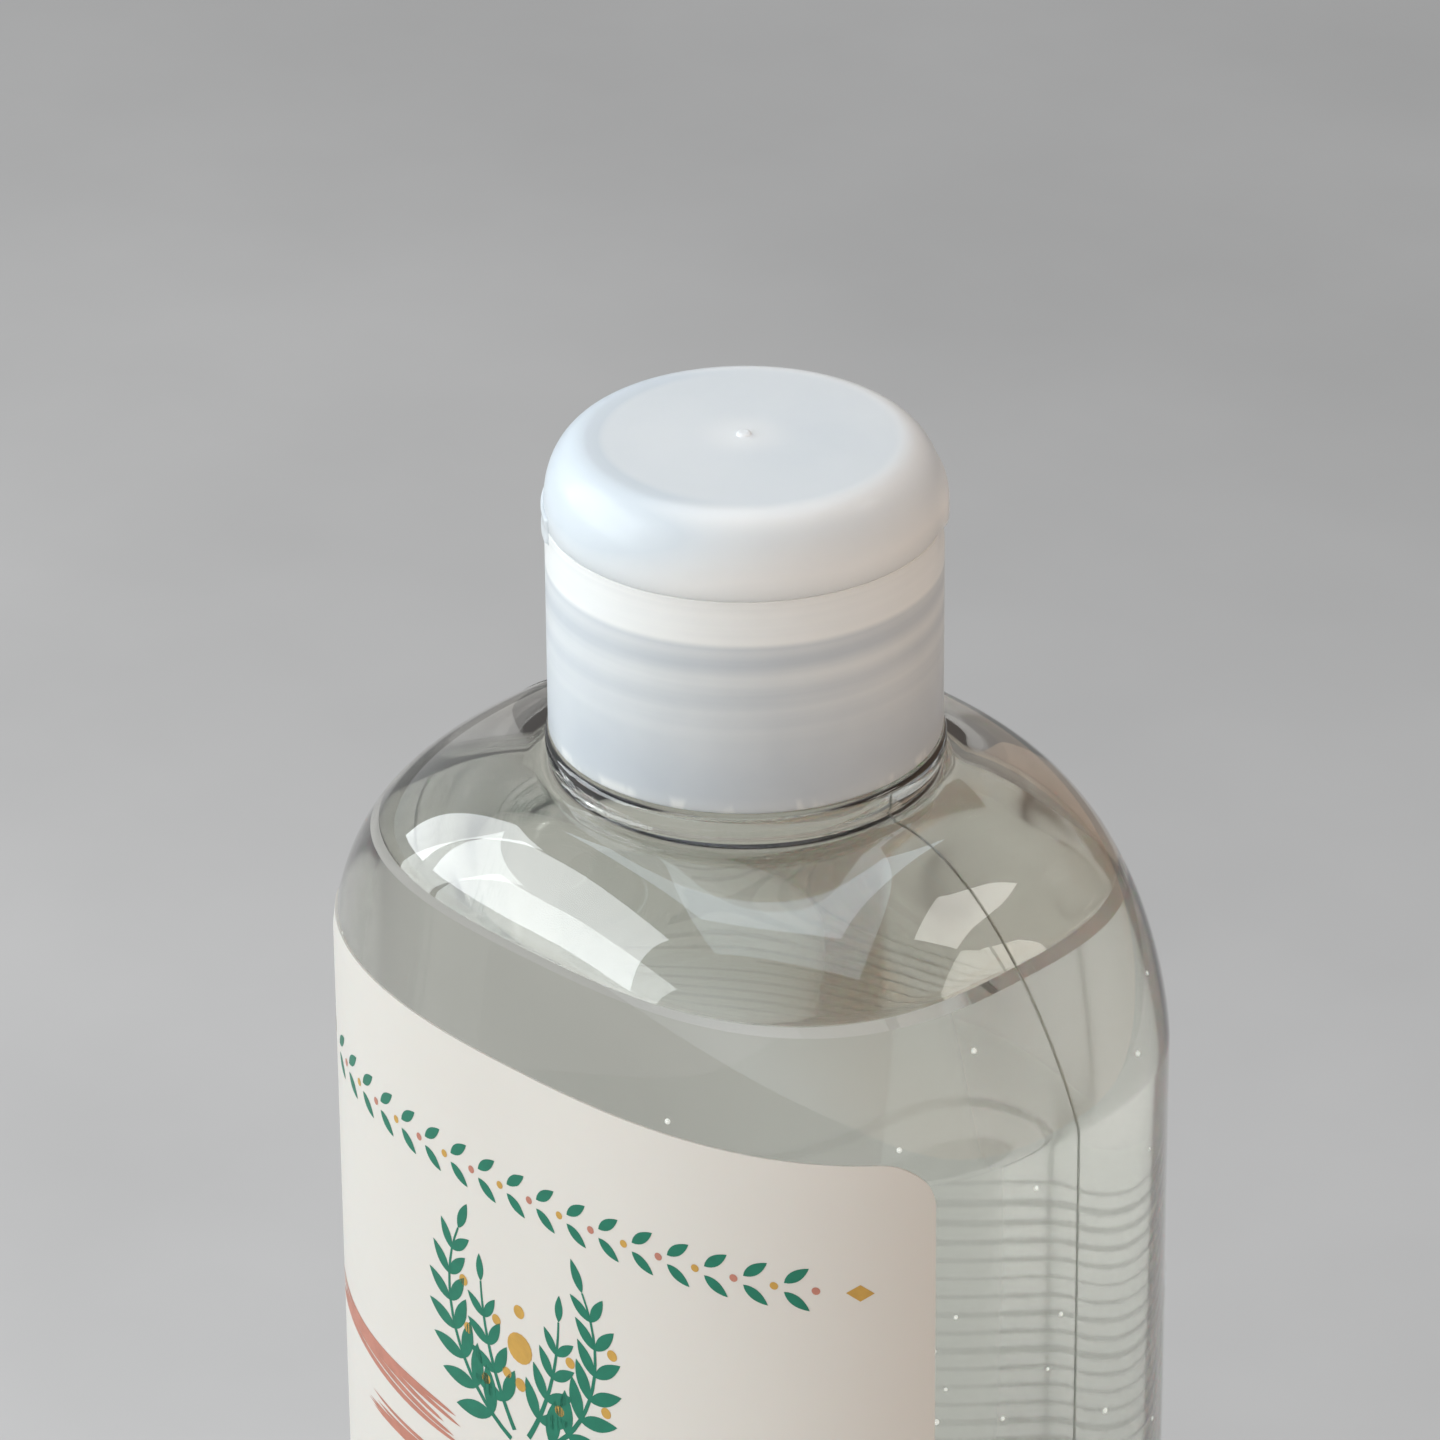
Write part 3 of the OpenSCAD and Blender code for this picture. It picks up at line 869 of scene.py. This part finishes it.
class Print:
    """Flat inked shapes laid on a label, in its own (across, down) millimetres."""

    def __init__(self, front, top_z, out):
        self.front, self.top_z, self.out = front, top_z, out
        self.verts, self.faces, self.inks = [], [], []

    def point(self, s, down):
        z = self.top_z - down
        x, y = wall_at(s, self.out, z, self.front)
        self.verts.append((x, y, z))
        return len(self.verts) - 1

    def shape(self, points, which):
        """Convex outline of (across, down) points, cut into upright slices that follow the wall."""
        corners = sorted({s for s, _ in points})
        cuts = []
        for a, b in zip(corners, corners[1:]):
            parts = max(1, int((b - a) / 0.4) + 1)
            cuts += [a + (b - a) * k / parts for k in range(parts)]
        cuts.append(corners[-1])
        last = None
        for s in cuts:
            hits = []
            for (s0, d0), (s1, d1) in zip(points, points[1:] + points[:1]):
                if abs(s0 - s1) < 1e-9:
                    hits += [d0, d1] if abs(s - s0) < 1e-9 else []
                elif min(s0, s1) <= s <= max(s0, s1):
                    hits.append(d0 + (d1 - d0) * (s - s0) / (s1 - s0))
            pair = (self.point(s, max(hits)), self.point(s, min(hits)))
            if last:
                self.faces.append((last[0], pair[0], pair[1], last[1]))
                self.inks.append(which)
            last = pair

    def strip(self, path, widths, which):
        """Line along a path, with a width at each point."""
        pairs = []
        for k, (s, d) in enumerate(path):
            s0, d0 = path[max(0, k - 1)]
            s1, d1 = path[min(len(path) - 1, k + 1)]
            size = math.hypot(s1 - s0, d1 - d0) or 1
            ns, nd = -(d1 - d0) / size, (s1 - s0) / size
            w = widths[k] / 2 if isinstance(widths, list) else widths / 2
            pairs.append((self.point(s - ns * w, d - nd * w), self.point(s + ns * w, d + nd * w)))
        for (a, b), (c, e) in zip(pairs, pairs[1:]):
            self.faces.append((a, b, e, c))
            self.inks.append(which)

    def rule(self, s0, s1, down, width, which):
        steps = max(2, int(abs(s1 - s0) / 0.8))
        self.strip([(s0 + (s1 - s0) * k / steps, down) for k in range(steps + 1)], width, which)

    def leaf(self, s, down, length, width, turn, which):
        """Pointed leaf that starts at (s, down); turn 0 points up."""
        steps = 9
        sides = []
        for k in range(steps + 1):
            u = k / steps
            sides.append((u * length, width / 2 * math.sin(math.pi * u) ** 0.8 * (1.15 - 0.35 * u)))
        outline = [(u, w) for u, w in sides] + [(u, -w) for u, w in sides[-2:0:-1]]
        ca, sa = math.cos(turn), math.sin(turn)
        self.shape([(s + u * sa + w * ca, down - u * ca + w * sa) for u, w in outline], which)

    def dot(self, s, down, r, which):
        points = [(s + r * math.cos(t), down + r * math.sin(t))
                  for t in (2 * math.pi * k / 18 for k in range(18))]
        self.shape(points, which)

    def diamond(self, s, down, half_s, half_d, which):
        points = [(s - half_s, down), (s, down + half_d), (s + half_s, down), (s, down - half_d)]
        self.shape(points, which)

    def finish(self, name, inks):
        make_object(name, self.verts, self.faces, inks, "bottle", which=self.inks)


def stem(s, down, length, turn, bends):
    """Path of equal steps that turns by each of bends in its course."""
    step = length / len(bends)
    path = [(s, down)]
    for bend in bends:
        turn += bend
        s += math.sin(turn) * step
        down -= math.cos(turn) * step
        path.append((s, down))
    return path


def sprig(p, s, down, length, turn, bend, leaves, size):
    """Curved stem with leaf pairs that shrink towards its tip, and berries."""
    steps = 16
    path = stem(s, down, length, turn, [bend / steps] * steps)
    p.strip(path, [0.5 - 0.3 * k / steps for k in range(steps + 1)], 0)
    for k in range(leaves):
        u = (k + 1) / (leaves + 1)
        at = path[int(u * steps)]
        here = turn + bend * u
        leaf_len = size * (1.15 - 0.55 * u)
        for side in (-1, 1):
            p.leaf(at[0], at[1], leaf_len, leaf_len * 0.36, here + side * (0.85 - 0.2 * u), 0)
        if k % 2 == 1:
            off, reach = here + 1.45, size * 0.42
            p.dot(at[0] + math.sin(off) * reach, at[1] - math.cos(off) * reach, 0.5, 2)
    p.leaf(path[-1][0], path[-1][1], size * 0.7, size * 0.24, turn + bend, 0)


def tendril(p, s, down, length, turn, bend):
    """Stem that curls in on itself and ends in a dot."""
    steps = 30
    path = stem(s, down, length, turn, [bend * 2 * (k + 1) / steps**2 for k in range(steps)])
    p.strip(path, [0.9 - 0.6 * k / steps for k in range(steps + 1)], 0)
    p.dot(path[-1][0], path[-1][1], 0.5, 2)


def brush_band(p, s0, s1, down, tilt, thick, which):
    """Loose brush stroke: several overlapping uneven strips."""
    for k in range(5):
        a = s0 + random.uniform(0, 2.5)
        b = s1 - random.uniform(0, 2.5)
        off = (k - 2) * thick * 0.24
        steps = 24
        path, widths = [], []
        for j in range(steps + 1):
            u = j / steps
            s = a + (b - a) * u
            wave = 0.25 * math.sin(5 * u + k)
            path.append((s, down + off + tilt * (s - s0) + wave))
            widths.append(thick * 0.26 * (math.sin(math.pi * u) ** 0.35 + 0.02))
        p.strip(path, widths, which)


def build_front_print():
    """Garland, emblem of sprigs, brush bands, tendrils and rules, with places counted from the top."""
    garland, emblem, centre, curls, rules, twig, close = 11.2, 34.5, 25.5, 49.0, 60, 78, 100.0
    p = Print(True, FRONT_HIGH, LABEL_GAP + LABEL_T - INK_ROOM + INK_UP)
    for k in range(-8, 9):
        s = 3.3 * k
        p.leaf(s - 1.1, garland - 0.4, 2.5, 0.95, 0.9, 0)
        p.leaf(s - 1.1, garland + 0.4, 2.5, 0.95, 2.2, 0)
        p.dot(s + 1.4, garland, 0.34, 2 if k % 2 else 1)
    for s in (-31.2, 31.2):
        p.diamond(s, garland, 1.1, 0.75, 2)
    for side in (-1, 1):
        sprig(p, side * 1.2, emblem, 20.0, side * 1.15, -side * 1.55, 7, 4.2)
        sprig(p, side * 0.8, emblem - 1, 13.0, side * 0.55, -side * 0.5, 4, 3.6)
    p.dot(0, centre, 1.4, 2)
    p.dot(0, centre - 3.4, 0.6, 2)
    p.dot(0, centre + 3.4, 0.6, 2)
    brush_band(p, -31, -7, 34.5, 0.10, 2.2, 1)
    brush_band(p, 4, 29, 38.5, 0.09, 2.4, 1)
    brush_band(p, -22, 20, 40.4, 0.05, 1.8, 1)
    for side in (-1, 1):
        for start, length, bend in ((0.9, 13.0, 4.2), (1.9, 10.0, -3.8)):
            tendril(p, side * 1.5, curls, length, side * start, side * bend)
    for k in range(3):
        p.rule(-22 + 2 * k, 22 - 2 * k, rules + 3.2 * k, 0.5, 0)
    sprig(p, -12, twig, 18.0, math.pi / 2, 0.0, 6, 3.4)
    p.rule(-33, 33, close, 1.2, 0)
    p.rule(-33, 33, close + 2.2, 0.3, 2)
    p.finish("front_label_print", [GREEN, CLAY, GOLD])


def build_back_print():
    """Pale fine rows, with darker broken rows towards the right narrow end and low down."""
    pale_pitch, edge_pitch, dark_pitch = 1.75, 2.1, 2.2
    p = Print(False, BACK_HIGH, -2 * LABEL_BED)
    for k in range(24):
        reach = 32 - (9 if k % 6 == 5 else 0) - random.uniform(0, 4)
        p.rule(-24, reach, 4 + pale_pitch * k, random.uniform(0.3, 0.7), 1)
    for k in range(21):
        s = -34.5
        while s < (-25.5 if k < 20 else 30):
            length = random.uniform(0.7, 2.6)
            p.rule(s, s + length, 2.4 + edge_pitch * k, 0.85, 0)
            s += length + 0.6
    for k in range(11):
        for start in range(-33, 30, 9):
            reach = start + 8.2 - random.uniform(0, 3)
            p.rule(start, reach, 49 + dark_pitch * k, 0.7, 0)
    p.rule(-33, 33, 76.0, 0.4, 0)
    p.finish("back_label_print", [GREEN, PALE])


# Closure

def closure_outline():
    """(radius, height, rounding) corners of the closure's section, from the skirt's inner foot."""
    skirt_r = CAP_R - SKIRT_T
    deck_low = DECK_Z - DECK_T
    lip_r = CAP_R - LID_T - 0.12
    mouth = DECK_Z + SPOUT_H
    return [
        (skirt_r, CAP_Z, 0.2), (CAP_R, CAP_Z, 0.3), (CAP_R, SEAM_Z, 0.12), (lip_r, SEAM_Z, 0.1),
        (lip_r, SEAM_Z + LIP_H, 0.25), (lip_r - LIP_T, SEAM_Z + LIP_H, 0.25),
        (lip_r - LIP_T, DECK_Z, 0.4), (SPOUT_BASE_R, DECK_Z, 0.8), (SPOUT_TOP_R, mouth, 0.3),
        (ORIFICE_R, mouth, 0.2), (ORIFICE_R, deck_low, 0.2), (PLUG_R - PLUG_T, deck_low, 0.3),
        (PLUG_R - PLUG_T, deck_low - PLUG_H, 0.15), (PLUG_R, deck_low - PLUG_H, 0.35),
        (PLUG_R, deck_low, 0.2), (skirt_r, deck_low, 0.4),
    ]


def densify(profile, step):
    """More points along the long edges of an outline."""
    out = []
    n = len(profile)
    for k in range(n):
        a, b = Vector(profile[k]), Vector(profile[(k + 1) % n])
        parts = max(1, int((b - a).length / step))
        out += [tuple(a + (b - a) * j / parts) for j in range(parts)]
    return out


def turn_gap(t, centre):
    return abs((t - centre + math.pi) % (2 * math.pi) - math.pi)


def build_closure():
    span, deep, tall = math.radians(34), 0.45, 2.2

    def recess(r, z, t):
        across = turn_gap(t, TAB_TURN) / (span / 2)
        below = (SEAM_Z - z) / tall
        if r > CAP_R - 0.5 and across < 1 and 0 <= below < 1:
            cut = deep * ridge(across, 2) ** 0.5 * (1 - below**2)
            return r - cut, z
        return r, z

    verts, faces = lathe(densify(rounded(closure_outline()), 0.5), warp=recess)
    make_object("closure_shell", verts, faces, [PP_BASE], "closure",
                ["cap_base"])


def build_inner_thread():
    """Helix inside the skirt, clear of the neck's own thread."""
    root, tip, half = CAP_R - SKIRT_T + 0.15, 13.45, 0.55
    low, turns, steps = CAP_Z + 3.2, 2.6, 260
    verts, faces = [], []
    for k in range(steps + 1):
        u = k / steps
        t = 2 * math.pi * turns * u
        z = low + THREAD_PITCH * turns * u
        fade = min(1.0, u / 0.04, (1 - u) / 0.04)
        r = root + (tip - root) * fade
        for rr, dz in [(root, -half), (r, -half * 0.35), (r, half * 0.35), (root, half)]:
            verts.append((rr * math.cos(t), rr * math.sin(t), z + dz))
    for k in range(steps):
        for e in range(4):
            f = (e + 1) % 4
            faces.append((4 * k + e, 4 * k + f, 4 * k + 4 + f, 4 * k + 4 + e))
    faces += [(3, 2, 1, 0), tuple(4 * steps + e for e in range(4))]
    make_object("closure_thread", verts, faces, [PP_BASE], "closure")


def lid_outline():
    outer = [(CAP_R - LID_T, SEAM_Z + SEAM_GAP), (CAP_R - 0.1, SEAM_Z + SEAM_GAP),
             (CAP_R - 0.03, SEAM_Z + SEAM_GAP + 0.03), (CAP_R, SEAM_Z + SEAM_GAP + 0.1)]
    top = SEAM_Z + LID_H
    crown = 0.2
    steps = 28
    for k in range(steps + 1):
        a = math.pi / 2 * k / steps
        outer.append((CAP_R - ROUND_W * (1 - math.cos(a)), top - ROUND_H * (1 - math.sin(a))))
    flat_r = CAP_R - ROUND_W
    for k in range(1, 12):
        r = flat_r * (1 - k / 12)
        outer.append((r, top + crown * (1 - (r / flat_r) ** 2)))
    gate = [(r, top + crown + up) for r, up in ((0.62, 0.02), (0.5, 0.2), (0.3, 0.24), (0.001, 0.17))]
    w, h = ROUND_W - LID_T * 0.6, ROUND_H - LID_T * 0.6
    mouth = DECK_Z + SPOUT_H
    roof = top - LID_T
    inner = [(0.001, mouth - PIN_IN), (PIN_R - 0.25, mouth - PIN_IN), (PIN_R, mouth),
             (PIN_R, roof - 0.4), (PIN_R + 0.4, roof)]
    for k in range(steps, -1, -1):
        a = math.pi / 2 * k / steps
        inner.append((CAP_R - LID_T - w * (1 - math.cos(a)), roof - h * (1 - math.sin(a))))
    return outer + gate + inner


def build_lid():
    span, out, tall = math.radians(34), 0.35, 3.6

    def tab(r, z, t):
        across = turn_gap(t, TAB_TURN) / (span / 2)
        up = (z - SEAM_Z) / tall
        if r > CAP_R - 0.6 and across < 1 and 0 <= up < 1:
            return r + out * min(1.0, 2.2 * ridge(across, 2)) * (1 - up**3), z
        return r, z

    verts, faces = lathe(densify(lid_outline(), 0.8), warp=tab)
    make_object("lid_shell", verts, faces, [PP_LID], "lid", ["flip_lid"])


def build_hinge():
    """Film strap over the seam."""
    length, rows, cols = 7.0, 16, 24
    low, high = SEAM_Z - 1.1, SEAM_Z + 1.1
    verts = []
    for skin in (0, 1):
        for j in range(rows + 1):
            u = j / rows
            z = low + (high - low) * u
            thick = 0.24 - 0.12 * ridge(z - SEAM_Z, 1.4)
            for i in range(cols + 1):
                t = HINGE_TURN + (i / cols - 0.5) * length / CAP_R
                at_edge = i in (0, cols) or j in (0, rows)
                r = CAP_R + (thick * (0.1 if at_edge else 1) if skin else -0.12)
                verts.append((r * math.cos(t), r * math.sin(t), z))
    strap = make_object("hinge_strap", verts, sheet_faces(rows, cols, flip=True), [PP_LID], None,
                        ["living_hinge"])
    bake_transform(strap)


# Surroundings

def build_floor():
    """Grey ground with soft clouds. Seen straight on it takes the object's shadow."""
    mesh = bpy.data.meshes.new("floor")
    reach = 3.0
    corners = [(-reach, -reach, 0), (reach, -reach, 0), (reach, reach, 0), (-reach, reach, 0)]
    mesh.from_pydata(corners, [], [(0, 1, 2, 3)])
    floor = bpy.data.objects.new("floor", mesh)
    bpy.context.scene.collection.objects.link(floor)
    mat, tree, shader = new_material("floor_grey")
    put(shader, rough=0.9, specular=0.1)
    coords = tree.nodes.new("ShaderNodeTexCoord")
    behind = along(tree, coords.outputs["Object"], AWAY)
    across = along(tree, coords.outputs["Object"], RIGHTWARD)
    # Painted light: the ground is lighter towards the camera and the left, darker behind and to the
    # right
    fall = scaled(tree, across, -0.8, scaled(tree, behind, -1.05, 1.27))
    fall = math_node(tree, "MINIMUM", math_node(tree, "MAXIMUM", fall, 0.8), 1.2)
    mottle = scaled(tree, noise_node(tree, 14.0, 4.0).outputs["Fac"], 0.24, 0.88)
    shade = times(tree, fall, mottle, FLOOR_TONE)
    tone = tree.nodes.new("ShaderNodeCombineColor")
    for name in ("Red", "Green", "Blue"):
        tree.links.new(shade, tone.inputs[name])
    tree.links.new(tone.outputs["Color"], shader.inputs["Base Color"])
    glow = tree.nodes.new("ShaderNodeEmission")
    tree.links.new(tone.outputs["Color"], glow.inputs["Color"])
    rays = tree.nodes.new("ShaderNodeLightPath").outputs
    beyond = span_node(tree, behind, PAPER_END, PAPER_END + PAPER_SOFT)
    dark = times(tree, rays["Is Glossy Ray"], beyond)
    # Painted pool of the window's light at the bottle's foot, seen only through the clear pieces
    foot = flipped(tree, span_node(tree, behind, *FOCUS_BEHIND))
    left = flipped(tree, span_node(tree, across, *FOCUS_ACROSS))
    focused = times(tree, times(tree, foot, left), FOCUS_GAIN, rays["Is Transmission Ray"])
    tree.links.new(plus(tree, focused, scaled(tree, dark, -BEYOND_DIM, 1.0)), glow.inputs["Strength"])
    through = math_node(tree, "MAXIMUM", rays["Is Transmission Ray"], rays["Is Glossy Ray"])
    direct = times(tree, rays["Is Camera Ray"], FLOOR_GLOW)
    both = tree.nodes.new("ShaderNodeMixShader")
    part = math_node(tree, "MAXIMUM", direct, times(tree, through, GLASS_GLOW))
    tree.links.new(part, both.inputs["Fac"])
    tree.links.new(shader.outputs[0], both.inputs[1])
    tree.links.new(glow.outputs[0], both.inputs[2])
    tree.links.new(both.outputs[0], tree.nodes["Material Output"].inputs["Surface"])
    mesh.materials.append(mat)


def area_light(name, place, target, size, power, color):
    light = bpy.data.lights.new(name, "AREA")
    light.shape = "RECTANGLE"
    light.size, light.size_y = size
    light.energy = power
    light.color = color
    obj = bpy.data.objects.new(name, light)
    obj.location = place
    obj.rotation_euler = (Vector(target) - Vector(place)).to_track_quat("-Z", "Y").to_euler()
    bpy.context.scene.collection.objects.link(obj)


def toward(turn_deg, rise_deg, away):
    """Place around the bottle: turn 0 is where the camera stands, positive to its right."""
    turn = CAM_TURN + math.radians(turn_deg)
    rise = math.radians(rise_deg)
    return (away * math.sin(turn) * math.cos(rise), -away * math.cos(turn) * math.cos(rise),
            away * math.sin(rise) + 0.12)


def build_lights():
    """Two windows on the left, a cool sky overhead, a small window on the right."""
    centre = (0, 0, 0.13)
    area_light("window_wide", toward(-86, 23, 1.4), centre, (0.98, 1.05), 11.3, COOL)
    area_light("window_narrow", toward(-117, 23, 1.4), centre, (0.40, 1.05), 4.9, COOL)
    area_light("top", toward(180, 75, 1.5), centre, (1.2, 1.2), 7.0, (0.72, 0.86, 1.0))
    area_light("far_window", toward(100, 45, 1.4), centre, (0.34, 0.26), 0.8, (1.0, 0.97, 0.92))


def build_room():
    """Cool light from the left and warm from the right, brightest on the camera's side and dim on
    the far side. The camera itself sees plain grey."""
    world = bpy.data.worlds.new("room")
    bpy.context.scene.world = world
    world.use_nodes = True
    tree = world.node_tree
    ways = tree.nodes.new("ShaderNodeTexCoord").outputs["Generated"]
    side = span_node(tree, along(tree, ways, RIGHTWARD), -0.7, 0.7)
    up = along(tree, ways, (0, 0, 1))
    nearer = along(tree, ways, NEARER)
    dim = scaled(tree, span_node(tree, up, 0.2, 0.5), 0.25, 0.48)
    far_side = scaled(tree, span_node(tree, nearer, -0.7, 0.0), flipped(tree, dim), dim)
    front = scaled(tree, span_node(tree, nearer, 0.1, 0.9), 0.8, far_side)
    level = scaled(tree, span_node(tree, up, 0.0, 0.9), -0.5, 0.95)
    seen = tree.nodes.new("ShaderNodeLightPath").outputs["Is Camera Ray"]
    color = tinted(tree, side, COOL + (1,), WARM + (1,))
    plain = tree.nodes.new("ShaderNodeMix")
    plain.data_type = "RGBA"
    plain.inputs["B"].default_value = (0.30, 0.30, 0.305, 1)
    tree.links.new(seen, plain.inputs["Factor"])
    tree.links.new(color, plain.inputs["A"])
    strength = times(tree, level, front, flipped(tree, seen))
    back = tree.nodes["Background"]
    tree.links.new(plain.outputs["Result"], back.inputs["Color"])
    tree.links.new(math_node(tree, "MAXIMUM", strength, seen), back.inputs["Strength"])


def build_camera():
    data = bpy.data.cameras.new("camera")
    data.sensor_width = SENSOR_MM
    data.lens = SENSOR_MM * CAM_FOCUS_PX / IMAGE_PX
    data.clip_end = 10
    cam = bpy.data.objects.new("camera", data)
    bpy.context.scene.collection.objects.link(cam)
    x, y, _ = NEARER
    toward_cam = Vector((x * math.cos(CAM_RISE), y * math.cos(CAM_RISE), math.sin(CAM_RISE)))
    place = (Vector((0, 0, CAP_Z)) + toward_cam * CAM_AWAY) * MM
    ahead = -toward_cam
    right = ahead.cross(Vector((0, 0, 1))).normalized()
    down = -right.cross(ahead)
    ry = Matrix.Rotation(CAM_YAW, 3, "Y")
    rz = Matrix.Rotation(CAM_ROLL, 3, "Z")
    turned = rz @ ry @ Matrix((right, down, ahead))
    axes = Matrix((turned[0], -turned[1], -turned[2])).transposed()
    cam.matrix_world = Matrix.Translation(place) @ axes.to_4x4()
    bpy.context.scene.camera = cam


build_bottle()
build_parting_line(1)
build_parting_line(-1)
build_liquid()
build_label("front_label_film", "front_label", (FRONT_LOW, FRONT_HIGH), FRONT_W, [CREAM, BACKING],
            True)
build_label("back_label_film", "back_label", (BACK_LOW, BACK_HIGH), BACK_W, [CLEAR_FILM, CLEAR_FILM],
            False)
build_front_print()
build_back_print()
build_closure()
build_inner_thread()
build_lid()
build_hinge()
build_floor()
build_lights()
build_room()
build_camera()
bpy.context.scene.view_settings.view_transform = "Standard"
